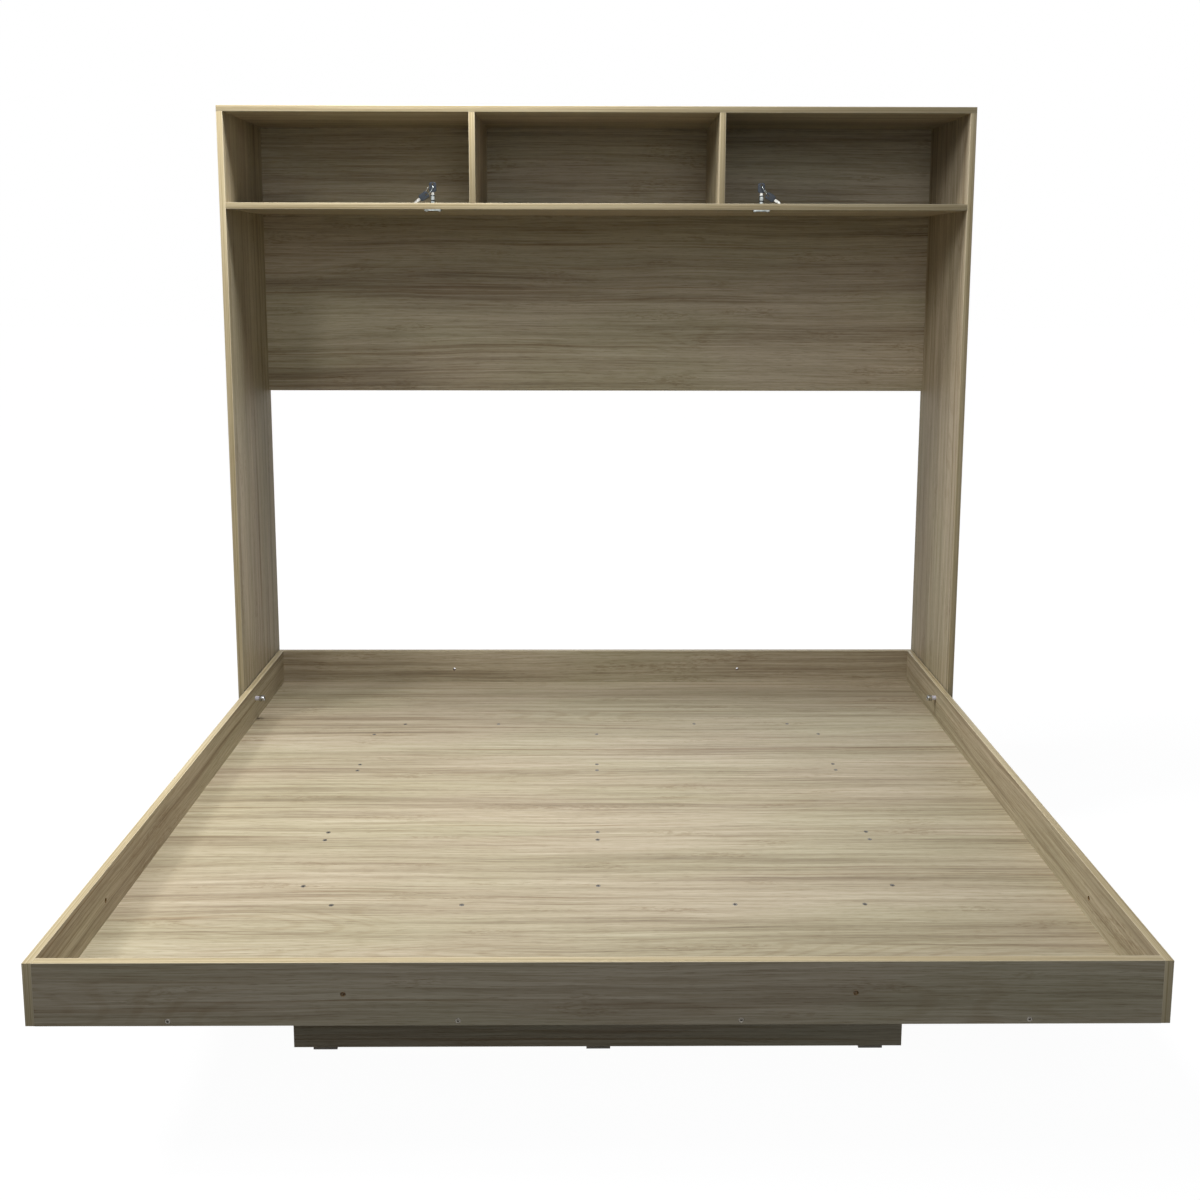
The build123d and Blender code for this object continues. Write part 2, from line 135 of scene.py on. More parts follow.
def drawn_out(tree, run, cross, run_scale, cross_scale, layer, detail, roughness=0.5):
    """Noise that is drawn out along the grain, with so many patches to the metre each way."""
    point = added(tree, "ShaderNodeCombineXYZ", {
        "X": worked(tree, "MULTIPLY", run, run_scale),
        "Y": worked(tree, "MULTIPLY", cross, cross_scale),
        "Z": layer,
    })
    noise = added(tree, "ShaderNodeTexNoise", {
        "Vector": point.outputs[0], "Scale": 1.0, "Detail": detail, "Roughness": roughness})
    return noise.outputs["Fac"]


def chipboard(tree, place):
    """The colour of a sawn chipboard edge or a drilled hole."""
    chips = added(tree, "ShaderNodeTexVoronoi", {"Vector": place, "Scale": 420.0})
    shade = added(tree, "ShaderNodeRGBToBW", {0: chips.outputs["Color"]})
    return graded(tree, shade.outputs[0], [(0.15, chip_dark), (0.75, chip_light)])


def fresh(name):
    """A new material's node tree and its surface shader."""
    material = bpy.data.materials.new(name)
    material.use_nodes = True
    return material, material.node_tree, material.node_tree.nodes["Principled BSDF"]


def laminate(name, along, facing, start, layer):
    """Coated chipboard: the oak print runs along one axis, on the faces square to another."""
    material, tree, shader = fresh(name)
    coordinate = added(tree, "ShaderNodeTexCoord")
    place = added(tree, "ShaderNodeSeparateXYZ", {0: coordinate.outputs["Object"]})
    normal = added(tree, "ShaderNodeSeparateXYZ", {0: coordinate.outputs["Normal"]})
    across = "XYZ".replace(along, "").replace(facing, "")
    run = worked(tree, "ADD", place.outputs[along], start[0])
    straight = worked(tree, "ADD", place.outputs[across], start[1])

    wander = drawn_out(tree, run, straight, 0.9, 3.0, layer, 2.0)
    ripple = drawn_out(tree, run, straight, 6.0, 26.0, layer, 2.0)
    bent = worked(tree, "ADD", straight, worked(tree, "MULTIPLY", wander, 0.045))
    cross = worked(tree, "ADD", bent, worked(tree, "MULTIPLY", ripple, 0.005))

    bands = drawn_out(tree, run, cross, 0.5, 9.0, layer, 3.0, 0.55)
    streaks = drawn_out(tree, run, cross, 0.9, 55.0, layer + 3, 5.0, 0.62)
    lines = drawn_out(tree, run, cross, 3.0, 240.0, layer + 6, 4.0, 0.65)
    tone = worked(tree, "ADD", worked(tree, "MULTIPLY", bands, 0.3),
                  worked(tree, "MULTIPLY", streaks, 0.38))
    tone = worked(tree, "ADD", tone, worked(tree, "MULTIPLY", lines, 0.32))
    print_colour = graded(tree, tone, [
        (0.37, oak_dark), (0.44, oak_brown), (0.51, oak_middle), (0.6, oak_light)])

    vein_body = drawn_out(tree, run, cross, 0.8, 75.0, layer + 8, 3.0, 0.6)
    vein_reach = eased(tree, drawn_out(tree, run, cross, 0.9, 8.0, layer + 9, 2.0), 0.44, 0.62)
    veins = worked(tree, "MULTIPLY", eased(tree, vein_body, 0.53, 0.68), vein_reach)
    print_colour = mixed(tree, "MULTIPLY", worked(tree, "MULTIPLY", veins, 0.85),
                         print_colour, colour(206, 192, 178))

    rings = worked(tree, "SINE", worked(tree, "MULTIPLY", drawn_out(
        tree, run, cross, 0.7, 5.5, layer + 12, 1.0), 190.0))
    figure = eased(tree, drawn_out(tree, run, cross, 1.3, 4.0, layer + 15, 1.0), 0.54, 0.66)
    ring_lines = worked(tree, "MULTIPLY", eased(tree, rings, 0.2, 1.0), figure)
    print_colour = mixed(tree, "MULTIPLY", worked(tree, "MULTIPLY", ring_lines, 0.35),
                         print_colour, colour(226, 217, 206))

    curls = drawn_out(tree, run, cross, 60.0, 300.0, layer + 27, 2.0)
    curl_patch = eased(tree, drawn_out(tree, run, cross, 4.0, 22.0, layer + 30, 1.0), 0.6, 0.7)
    curl_marks = worked(tree, "MULTIPLY", eased(tree, curls, 0.48, 0.6), curl_patch)
    print_colour = mixed(tree, "MULTIPLY", worked(tree, "MULTIPLY", curl_marks, 0.5),
                         print_colour, colour(208, 196, 182))

    fibres = drawn_out(tree, run, cross, 9.0, 420.0, layer + 18, 4.0, 0.7)
    print_colour = mixed(tree, "MULTIPLY", eased(tree, fibres, 0.4, 0.66, 0.0, 0.7),
                         print_colour, colour(224, 217, 207))
    flecks = drawn_out(tree, run, cross, 30.0, 900.0, layer + 21, 1.0)
    pores = eased(tree, flecks, 0.6, 0.7)
    print_colour = mixed(tree, "MULTIPLY", worked(tree, "MULTIPLY", pores, 0.5),
                         print_colour, colour(182, 169, 154))
    cast = eased(tree, drawn_out(tree, run, cross, 1.5, 6.0, layer + 24, 2.0), 0.35, 0.65)
    print_colour = mixed(tree, "MULTIPLY", cast, print_colour, colour(250, 254, 249))

    printed = worked(tree, "GREATER_THAN", worked(tree, "ABSOLUTE", normal.outputs[facing]), 0.5)
    surface = mixed(tree, "MIX", printed, chipboard(tree, coordinate.outputs["Object"]),
                    print_colour)
    tree.links.new(surface, shader.inputs["Base Color"])
    tree.links.new(eased(tree, lines, 0.3, 0.7, 0.52, 0.64), shader.inputs["Roughness"])
    shader.inputs["Specular IOR Level"].default_value = 0.14
    relief = worked(tree, "SUBTRACT", fibres, worked(tree, "MULTIPLY", pores, 0.6))
    bump = added(tree, "ShaderNodeBump", {"Height": relief, "Strength": 0.25, "Distance": 0.0002})
    tree.links.new(bump.outputs["Normal"], shader.inputs["Normal"])
    return material


def dress(node, material):
    """Gives a CAD node its finish."""
    slots = frame["nodes"][node].data.materials
    slots.clear()
    slots.append(material)


for layer, (board, start) in enumerate({
        "foot_base_board": (0.3, 0.0), "middle_base_board": (1.9, 4.0),
        "head_base_board": (5.2, 7.0)}.items()):
    dress(board, laminate(board + "_print", "X", "Z", start, 0.7 * layer))


# The four rails round the base: strips of the same coated board on edge, with the print along
# each. The foot and head rails are drilled for the lock bolts, the side rails for the pivots.
for node, along, facing, start in (
        ("foot_rail", "X", "Y", (3.1, 9.0)), ("head_rail", "X", "Y", (7.4, 2.0)),
        ("left_side_rail", "Y", "X", (4.3, 5.0)), ("right_side_rail", "Y", "X", (8.8, 1.3))):
    dress(node, laminate(node + "_print", along, facing, start, 2.0 + start[0]))


# The support box: two long boards and three between them, of the same coated board.
# It stands under the base and is screwed to it from above.
for node, along, facing, start in (
        ("support_front_board", "X", "Y", (2.2, 3.0)),
        ("support_back_board", "X", "Y", (6.1, 8.0)),
        ("support_left_board", "Y", "X", (1.4, 2.6)),
        ("support_centre_board", "Y", "X", (3.9, 5.5)),
        ("support_right_board", "Y", "X", (9.3, 7.2))):
    dress(node, laminate(node + "_print", along, facing, start, 5.0 + start[0]))


# The edging of the bed: plastic strips a millimetre thick in a plainer, yellower oak print. They
# are glued on the edges that show and trimmed flush, which rounds both their borders over.
edging_light = (206, 191, 155)
edging_middle = (192, 175, 138)
edging_dark = (164, 146, 108)
# The border colour and its width are a painted highlight: the paler line where the rounded borders of
# a strip catch the light.
edging_painted_highlight = (216, 203, 172)
strip_thickness = 0.001
board_thickness = 0.016
highlight_width = 0.0014
strip_rounding = 0.0006
strip_spacing = 10.0  # how far apart the prints of two strips are started
laps = {"+z": (2, 1), "-z": (2, -1), "+y": (1, 1), "-y": (1, -1), "+x": (0, 1), "-x": (0, -1)}


def edging_print_and_highlight():
    """The print of the edging, which runs along each strip by its UV map, in metres, with a painted
    highlight along both borders of each strip.
    """
    material, tree, shader = fresh("edging_print_and_highlight")
    flat = added(tree, "ShaderNodeUVMap", uv_map="strip")
    place = added(tree, "ShaderNodeSeparateXYZ", {0: flat.outputs["UV"]})
    run, cross = place.outputs["X"], place.outputs["Y"]
    layer = worked(tree, "FLOOR", worked(tree, "MULTIPLY", run, 1 / strip_spacing))
    streaks = drawn_out(tree, run, cross, 1.6, 330.0, layer, 3.0)
    fibres = drawn_out(tree, run, cross, 22.0, 1300.0, layer, 2.0)
    tone = worked(tree, "ADD", worked(tree, "MULTIPLY", streaks, 0.8),
                  worked(tree, "MULTIPLY", fibres, 0.2))
    print_colour = graded(tree, tone, [
        (0.34, edging_dark), (0.5, edging_middle), (0.6, edging_light)])
    # Both borders of each strip are painted paler: a painted highlight for the light on their rounded
    # edges.
    to_border = worked(tree, "ABSOLUTE", cross)
    half = board_thickness / 2
    painted_highlight = eased(tree, to_border, half - 1.3 * highlight_width, half - 0.7 * highlight_width)
    surface = mixed(tree, "MIX", worked(tree, "MULTIPLY", painted_highlight, 0.75), print_colour,
                    colour(*edging_painted_highlight))
    tree.links.new(surface, shader.inputs["Base Color"])
    tree.links.new(eased(tree, fibres, 0.3, 0.7, 0.4, 0.52), shader.inputs["Roughness"])
    shader.inputs["Specular IOR Level"].default_value = 0.2
    bump = added(tree, "ShaderNodeBump", {"Height": fibres, "Strength": 0.2, "Distance": 0.0001})
    tree.links.new(bump.outputs["Normal"], shader.inputs["Normal"])
    return material


edging_material = edging_print_and_highlight()
strip_numbers = itertools.count()


def alone(piece):
    """Makes a piece the only one selected."""
    bpy.ops.object.select_all(action="DESELECT")
    piece.select_set(True)
    bpy.context.view_layer.objects.active = piece


def pick(piece, edges, test):
    """In edit mode, selects only the edges or faces that pass a test."""
    bpy.ops.mesh.select_all(action="DESELECT")
    bpy.ops.mesh.select_mode(type="EDGE" if edges else "FACE")
    mesh = bmesh.from_edit_mesh(piece.data)
    for element in mesh.edges if edges else mesh.faces:
        element.select_set(test(element))
    bmesh.update_edit_mesh(piece.data)


def block(name, low, high):
    """A rectangular block between two corners, with its place in its mesh."""
    bpy.ops.object.select_all(action="DESELECT")
    middle = [(a + b) / 2 for a, b in zip(low, high)]
    bpy.ops.mesh.primitive_cube_add(size=1, location=middle)
    piece = bpy.context.object
    piece.name = name
    piece.scale = [b - a for a, b in zip(low, high)]
    bpy.ops.object.transform_apply(location=True, rotation=False, scale=True)
    return piece


def strip(low, high, axis, sign):
    """One strip: a block whose borders are rounded over on its outer side, with its UV map."""
    piece = block("strip", low, high)
    outer = (high if sign > 0 else low)[axis]
    bpy.ops.object.mode_set(mode="EDIT")
    pick(piece, True, lambda edge: all(abs(v.co[axis] - outer) < 1e-6 for v in edge.verts))
    bpy.ops.mesh.bevel(offset=strip_rounding, segments=3, affect="EDGES")
    bpy.ops.object.mode_set(mode="OBJECT")
    size = [b - a for a, b in zip(low, high)]
    along = size.index(max(size))
    across = 3 - along - axis
    middle = (low[across] + high[across]) / 2
    layer = piece.data.uv_layers.new(name="strip")
    offset = strip_spacing * next(strip_numbers)
    for loop in piece.data.loops:
        point = piece.data.vertices[loop.vertex_index].co
        run = point[along] - low[along] + offset
        layer.data[loop.index].uv = (run, point[across] - middle)
    return piece


def joined(pieces, name):
    """Several pieces made one, under a name."""
    alone(pieces[0])
    for piece in pieces:
        piece.select_set(True)
    if len(pieces) > 1:
        bpy.ops.object.join()
    whole = bpy.context.object
    whole.name = name
    whole.data.name = name
    return whole


def edging(node, body, boards):
    """The strips of a group of boards: each side named later is covered by the ones before it."""
    strips = []
    for board, sides in boards.items():
        low, high = (list(corner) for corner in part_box(board))
        for index, side in enumerate(sides):
            start, end = list(low), list(high)
            for later in sides[index + 1:]:
                axis, sign = laps[later]
                start[axis] -= strip_thickness if sign < 0 else 0
                end[axis] += strip_thickness if sign > 0 else 0
            axis, sign = laps[side]
            if sign > 0:
                start[axis], end[axis] = high[axis], high[axis] + strip_thickness
            else:
                start[axis], end[axis] = low[axis] - strip_thickness, low[axis]
            strips.append(strip(start, end, axis, sign))
    piece = joined(strips, node + "_edging")
    piece.data.materials.clear()
    piece.data.materials.append(edging_material)
    alone(piece)
    bpy.ops.object.shade_smooth_by_angle(angle=math.radians(40))
    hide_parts(node)
    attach(piece, body)


edging("side_rail_bands", "bed", {
    "left_side_rail": ("+z", "-y", "+y"), "right_side_rail": ("+z", "-y", "+y")})
edging("cross_rail_bands", "bed", {"foot_rail": ("+z",), "head_rail": ("+z",)})
edging("support_bands", "bed", {
    "support_front_board": ("-z", "-x", "+x"), "support_back_board": ("-z", "-x", "+x"),
    "support_left_board": ("-z",), "support_centre_board": ("-z",),
    "support_right_board": ("-z",)})


# The glides under the support box: brown plastic blocks, pressed on its lower edge so that the
# box slides on a hard floor, with their rims rounded and a shallow hollow underneath.
glide_rim = 0.0012
glide_hollow = 0.0008


def plastic(name, shade, worn, rough):
    """A moulded plastic with a fine grain, and paler where it has been rubbed."""
    material, tree, shader = fresh(name)
    coordinate = added(tree, "ShaderNodeTexCoord").outputs["Object"]
    cloud = added(tree, "ShaderNodeTexNoise", {"Vector": coordinate, "Scale": 90.0, "Detail": 4.0})
    grain = added(tree, "ShaderNodeTexNoise", {"Vector": coordinate, "Scale": 2600.0, "Detail": 2.0})
    surface = graded(tree, cloud.outputs["Fac"], [(0.35, shade), (0.75, worn)])
    tree.links.new(surface, shader.inputs["Base Color"])
    tree.links.new(eased(tree, grain.outputs["Fac"], 0.3, 0.7, rough - 0.06, rough + 0.08),
                   shader.inputs["Roughness"])
    bump = added(tree, "ShaderNodeBump", {
        "Height": grain.outputs["Fac"], "Strength": 0.15, "Distance": 0.0001})
    tree.links.new(bump.outputs["Normal"], shader.inputs["Normal"])
    return material


def solids(node):
    """The lowest and highest corner of each separate solid of a CAD node."""
    mesh = bmesh.new()
    mesh.from_mesh(frame["nodes"][node].data)
    bmesh.ops.remove_doubles(mesh, verts=mesh.verts, dist=1e-7)
    left = set(mesh.verts)
    corners = []
    while left:
        start = left.pop()
        group, edge_on = {start}, [start]
        while edge_on:
            for edge in edge_on.pop().link_edges:
                for vertex in edge.verts:
                    if vertex not in group:
                        group.add(vertex)
                        edge_on.append(vertex)
        left -= group
        corners.append(tuple([pick_end(vertex.co[axis] for vertex in group) for axis in range(3)]
                             for pick_end in (min, max)))
    mesh.free()
    return sorted(corners)


def finished(piece, material, node, body):
    """Gives a piece its finish and smooth shading, and puts it in the place of a CAD node."""
    piece.data.materials.clear()
    piece.data.materials.append(material)
    alone(piece)
    bpy.ops.object.shade_smooth_by_angle(angle=math.radians(35))
    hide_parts(node)
    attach(piece, body)


def glide(low, high):
    """One glide: its lower rims are rounded and its underside is hollowed a little."""
    piece = block("glide", low, high)
    bpy.ops.object.mode_set(mode="EDIT")
    pick(piece, False, lambda face: face.normal.z < -0.9)
    bpy.ops.mesh.inset(thickness=2 * glide_rim)
    bpy.ops.mesh.inset(thickness=glide_rim)
    bpy.ops.transform.translate(value=(0, 0, glide_hollow))
    middle = [(a + b) / 2 for a, b in zip(low, high)]
    half = [(b - a) / 2 for a, b in zip(low, high)]
    pick(piece, True, lambda edge: all(
        v.co.z < high[2] - 1e-6 and any(abs(abs(v.co[axis] - middle[axis]) - half[axis]) < 1e-6
                                        for axis in (0, 1)) for v in edge.verts))
    bpy.ops.mesh.bevel(offset=glide_rim / 2, segments=3, affect="EDGES")
    bpy.ops.object.mode_set(mode="OBJECT")
    return piece


brown_plastic = plastic("brown_plastic", (72, 66, 56), (92, 85, 73), 0.45)
finished(joined([glide(*corners) for corners in solids("support_glides")], "glides"),
         brown_plastic, "support_glides", "bed")


# The wood screws: zinc-plated steel with a countersunk head and a hexagon socket, driven flush
# into the boards. Each group is one turned screw, copied and set at the places of the CAD screws.
screw_length = 0.050
screw_shank = 0.0035
screw_head = 0.005
screw_rim = 0.0008
screw_neck = 0.005
socket_width = 0.004
socket_depth = 0.003
socket_lead = 0.0003
thread_pitch = 0.003
thread_depth = 0.0009


def metal(name, dark, light, rough, lines, along="Z"):
    """Bare or plated metal, with tool marks round it and a thin dull film in patches."""
    material, tree, shader = fresh(name)
    coordinate = added(tree, "ShaderNodeTexCoord").outputs["Object"]
    film = added(tree, "ShaderNodeTexNoise", {"Vector": coordinate, "Scale": 160.0, "Detail": 5.0})
    stretch = tuple(lines if axis == along else 60.0 for axis in "XYZ")
    turned_to = added(tree, "ShaderNodeMapping", {"Vector": coordinate, "Scale": stretch})
    marks = added(tree, "ShaderNodeTexNoise", {
        "Vector": turned_to.outputs[0], "Scale": 1.0, "Detail": 3.0})
    surface = graded(tree, film.outputs["Fac"], [(0.35, dark), (0.65, light)])
    tree.links.new(surface, shader.inputs["Base Color"])
    tree.links.new(eased(tree, marks.outputs["Fac"], 0.3, 0.7, rough - 0.08, rough + 0.1),
                   shader.inputs["Roughness"])
    bump = added(tree, "ShaderNodeBump", {
        "Height": marks.outputs["Fac"], "Strength": 0.12, "Distance": 0.0001})
    tree.links.new(bump.outputs["Normal"], shader.inputs["Normal"])
    shader.inputs["Metallic"].default_value = 1.0
    return material


def spun(name, profile, sides):
    """A turned piece about Z: its profile, as radius and height, is drawn and spun round."""
    bpy.ops.object.select_all(action="DESELECT")
    bpy.ops.mesh.primitive_plane_add(size=0.001, location=(profile[0][0], 0, profile[0][1]))
    piece = bpy.context.object
    piece.name = name
    bpy.ops.object.transform_apply(location=True, rotation=False, scale=False)
    bpy.ops.object.mode_set(mode="EDIT")
    bpy.ops.mesh.select_mode(type="VERT")
    bpy.ops.mesh.select_all(action="SELECT")
    bpy.ops.mesh.merge(type="CENTER")
    for (radius, height), (next_radius, next_height) in zip(profile, profile[1:]):
        step = (next_radius - radius, 0, next_height - height)
        bpy.ops.mesh.extrude_vertices_move(TRANSFORM_OT_translate={"value": step})
    bpy.ops.mesh.select_all(action="SELECT")
    bpy.ops.mesh.spin(steps=sides, angle=math.tau, center=(0, 0, 0), axis=(0, 0, 1))
    bpy.ops.mesh.select_all(action="SELECT")
    bpy.ops.mesh.remove_doubles(threshold=1e-6)
    bpy.ops.mesh.normals_make_consistent(inside=False)
    bpy.ops.object.mode_set(mode="OBJECT")
    return piece


def drilled(piece, cutter):
    """Cuts one piece out of another."""
    alone(piece)
    cut = piece.modifiers.new("cut", "BOOLEAN")
    cut.object = cutter
    cut.operation = "DIFFERENCE"
    cut.solver = "EXACT"
    bpy.ops.object.modifier_apply(modifier=cut.name)
    bpy.data.objects.remove(cutter)


def cut_socket(piece, width, depth, lead):
    """Cuts a hexagon socket down from Z = 0, with a chamfered mouth."""
    across = width / math.sqrt(3)
    bpy.ops.object.select_all(action="DESELECT")
    bpy.ops.mesh.primitive_cylinder_add(vertices=6, radius=across, depth=2 * depth)
    tool = bpy.context.object
    bpy.ops.object.mode_set(mode="EDIT")
    pick(tool, False, lambda face: face.normal.z < -0.9)
    bpy.ops.mesh.extrude_region_move(TRANSFORM_OT_translate={"value": (0, 0, -0.12 * width)})
    bpy.ops.transform.resize(value=(0.3, 0.3, 1))
    bpy.ops.mesh.select_all(action="DESELECT")
    bpy.ops.object.mode_set(mode="OBJECT")
    bpy.ops.object.select_all(action="DESELECT")
    bpy.ops.mesh.primitive_cone_add(vertices=24, radius1=across - lead, radius2=across + lead,
                                    depth=2 * lead)
    mouth = bpy.context.object
    for cutter in (tool, mouth):
        drilled(piece, cutter)
    return piece


def wood_screw():
    """One screw with its head's face at Z = 0 and a coarse thread below it."""
    half = screw_rim / 2
    profile = [(0, 0), (screw_head - half, 0), (screw_head, -half), (screw_head, -screw_rim),
               (screw_shank - thread_depth, -screw_neck)]
    height = -screw_neck - thread_pitch
    while height > -screw_length + thread_pitch:
        profile += [(screw_shank - thread_depth, height + thread_pitch / 4),
                    (screw_shank, height), (screw_shank - thread_depth, height - thread_pitch / 4)]
        height -= thread_pitch
    profile += [(0, -screw_length)]
    return cut_socket(spun("screw", profile, 20), socket_width, socket_depth, socket_lead)


def set_out(master, places, name):
    """Copies of a piece, each with its own mesh, at places given as point and outward axis."""
    copies = []
    for point, outward in places:
        copy = master.copy()
        copy.data = master.data.copy()
        bpy.context.collection.objects.link(copy)
        turn = Vector(outward).to_track_quat("Z", "X").to_matrix().to_4x4()
        copy.data.transform(Matrix.Translation(point) @ turn)
        copies.append(copy)
    return joined(copies, name)


def screw_places(node, inside):
    """Where the head of each CAD screw is and which way it faces: away from a point inside."""
    places = []
    for low, high in solids(node):
        size = [b - a for a, b in zip(low, high)]
        axis = size.index(max(size))
        point = [(a + b) / 2 for a, b in zip(low, high)]
        outward = [0, 0, 0]
        outward[axis] = 1 if point[axis] > inside(point)[axis] else -1
        point[axis] = (high if outward[axis] > 0 else low)[axis]
        places.append((Vector(point), outward))
    return places


zinc = metal("zinc_plate", (98, 94, 86), (136, 132, 124), 0.42, 900.0)
master_screw = wood_screw()
for node in ("base_screws", "rail_corner_screws", "rail_edge_screws", "support_screws"):
    group = set_out(master_screw, screw_places(node, lambda point: (0, 0, 0)), node + "_turned")
    finished(group, zinc, node, "bed")


# The cabinet: sides and dividers with the print upright, top, shelf and back boards with it level.
# The top lies over the ends of the sides, and the boards are screwed together.
for node, along, facing, start in (
        ("left_side_panel", "Z", "X", (0.8, 3.3)), ("right_side_panel", "Z", "X", (5.6, 6.2)),
        ("left_divider", "Z", "X", (2.7, 8.1)), ("right_divider", "Z", "X", (7.7, 4.4)),
        ("top_panel", "X", "Z", (1.2, 5.8)), ("lock_shelf", "X", "Z", (4.9, 1.1)),
        ("back_panel", "X", "Y", (6.6, 3.7)), ("lower_back_rail", "X", "Y", (9.1, 9.9))):
    dress(node, laminate(node + "_print", along, facing, start, 8.0 + start[0]))

edging("side_panel_bands", "cabinet", {
    "left_side_panel": ("-y",), "right_side_panel": ("-y",)})
edging("divider_bands", "cabinet", {"left_divider": ("-y",), "right_divider": ("-y",)})
edging("top_panel_band", "cabinet", {"top_panel": ("-y", "-x", "+x")})
edging("lock_shelf_band", "cabinet", {"lock_shelf": ("-y",)})
edging("back_panel_band", "cabinet", {"back_panel": ("-z",)})
edging("lower_back_rail_band", "cabinet", {"lower_back_rail": ("+z",)})


def towards_shelf(point):
    """A point inside the cabinet, which the heads of its screws face away from."""
    level = 1.85 if 1.6 < point[2] < 1.98 else point[2]
    return (0, point[1], level)


cabinet_group = set_out(master_screw, screw_places("cabinet_screws", towards_shelf),
                        "cabinet_screws_turned")
finished(cabinet_group, zinc, "cabinet_screws", "cabinet")
bpy.data.objects.remove(master_screw)


# The foot pads: small plastic blocks nailed under the cabinet sides, which keep the board off a
# damp floor.
finished(joined([glide(*corners) for corners in solids("foot_pads")], "pads"),
         brown_plastic, "foot_pads", "cabinet")


# The pivots: a cap screw from inside each side rail, which turns in a nylon bush and is driven
# into a flanged insert in the cabinet side, with a spacer washer between rail and side.
cap_radius = 0.008
cap_height = 0.012
cap_rounding = 0.001
cap_socket_lead = 0.0005
pivot_shank = 0.005
shank_lead = 0.001
bush_inner = 0.00505
bush_outer = 0.006
cap_socket = 0.008
cap_socket_depth = 0.005
knurl_depth = 0.00025
knurl_count = 36


def cap_screw(length):
    """A cap screw with its head's face at Z = 0, a knurled and rounded head, and a long shank."""
    low = -cap_height
    rounding = [(cap_radius - cap_rounding * (1 - math.sin(turn)),
                 -cap_rounding * (1 - math.cos(turn)))
                for turn in (0, math.pi / 6, math.pi / 3, math.pi / 2)]
    profile = [(0, 0)] + rounding + [
        (cap_radius, low + cap_rounding / 3), (cap_radius - cap_rounding / 3, low),
        (pivot_shank, low), (pivot_shank, -length + shank_lead), (pivot_shank - shank_lead, -length),
        (0, -length)]
    piece = spun("cap_screw", profile, 2 * knurl_count)
    for vertex in piece.data.vertices:
        flute = round(math.atan2(vertex.co.y, vertex.co.x) / math.tau * 2 * knurl_count) % 2
        on_side = low + cap_rounding / 4 < vertex.co.z < -cap_rounding * 0.9
        if flute and on_side and vertex.co.xy.length > 0.9 * cap_radius:
            vertex.co.xy *= 1 - knurl_depth / cap_radius
    return cut_socket(piece, cap_socket, cap_socket_depth, cap_socket_lead)


def bush(length, inner, outer):
    """A bush with its outer face at Z = 0, rounded at that end."""
    rounding = (outer - inner) / 3
    return spun("bush", [(inner, 0), (outer - rounding, 0), (outer, -rounding), (outer, -length),
                         (inner, -length), (inner, 0)], 48)


def inner_ends(node):
    """The end of each solid of a node that faces the middle of the bed, and which way it faces."""
    return [(Vector((low[0] if low[0] > 0 else high[0], (low[1] + high[1]) / 2,
                     (low[2] + high[2]) / 2)), (-1 if low[0] > 0 else 1, 0, 0))
            for low, high in solids(node)]


shank_box = solids("pivot_screws")[0]
cap = cap_screw(shank_box[1][0] - shank_box[0][0])
finished(set_out(cap, inner_ends("pivot_screws"), "cap_screws"),
         metal("bright_steel", (176, 180, 186), (222, 226, 230), 0.2, 700.0, "X"),
         "pivot_screws", "cabinet")
bpy.data.objects.remove(cap)

bush_box = solids("pivot_bushes")[0]
nylon_bush = bush(bush_box[1][0] - bush_box[0][0], bush_inner, bush_outer)
finished(set_out(nylon_bush, inner_ends("pivot_bushes"), "nylon_bushes"),
         plastic("white_nylon", (196, 194, 206), (212, 210, 220), 0.35),
         "pivot_bushes", "bed")
bpy.data.objects.remove(nylon_bush)
for node in ("pivot_inserts", "pivot_spacers"):
    dress(node, zinc)


# The locks: a chrome-plated housing, with a flange screwed under the shelf and a grooved barrel
# that stands up through it. A core turns in the barrel and drives a bolt down for the foot rail.
chrome = metal("chrome_plate", (138, 143, 140), (186, 191, 188), 0.12, 500.0)
# A near-black plastic finish for the bottoms of the barrel's grooves: painted shade in the grooves.
groove_painted_shade = plastic("groove_painted_shade", (20, 22, 22), (34, 36, 36), 0.5)
bolt_steel = metal("bolt_steel", (150, 152, 152), (186, 188, 188), 0.25, 900.0)
flange_thickness = 0.004
flange_rounding = 0.0008
flange_corner = 0.004
barrel_segments = 48
barrel_radius = 0.0066
barrel_bore = 0.00455
barrel_groove = 0.0008
bore_lead = 0.0003


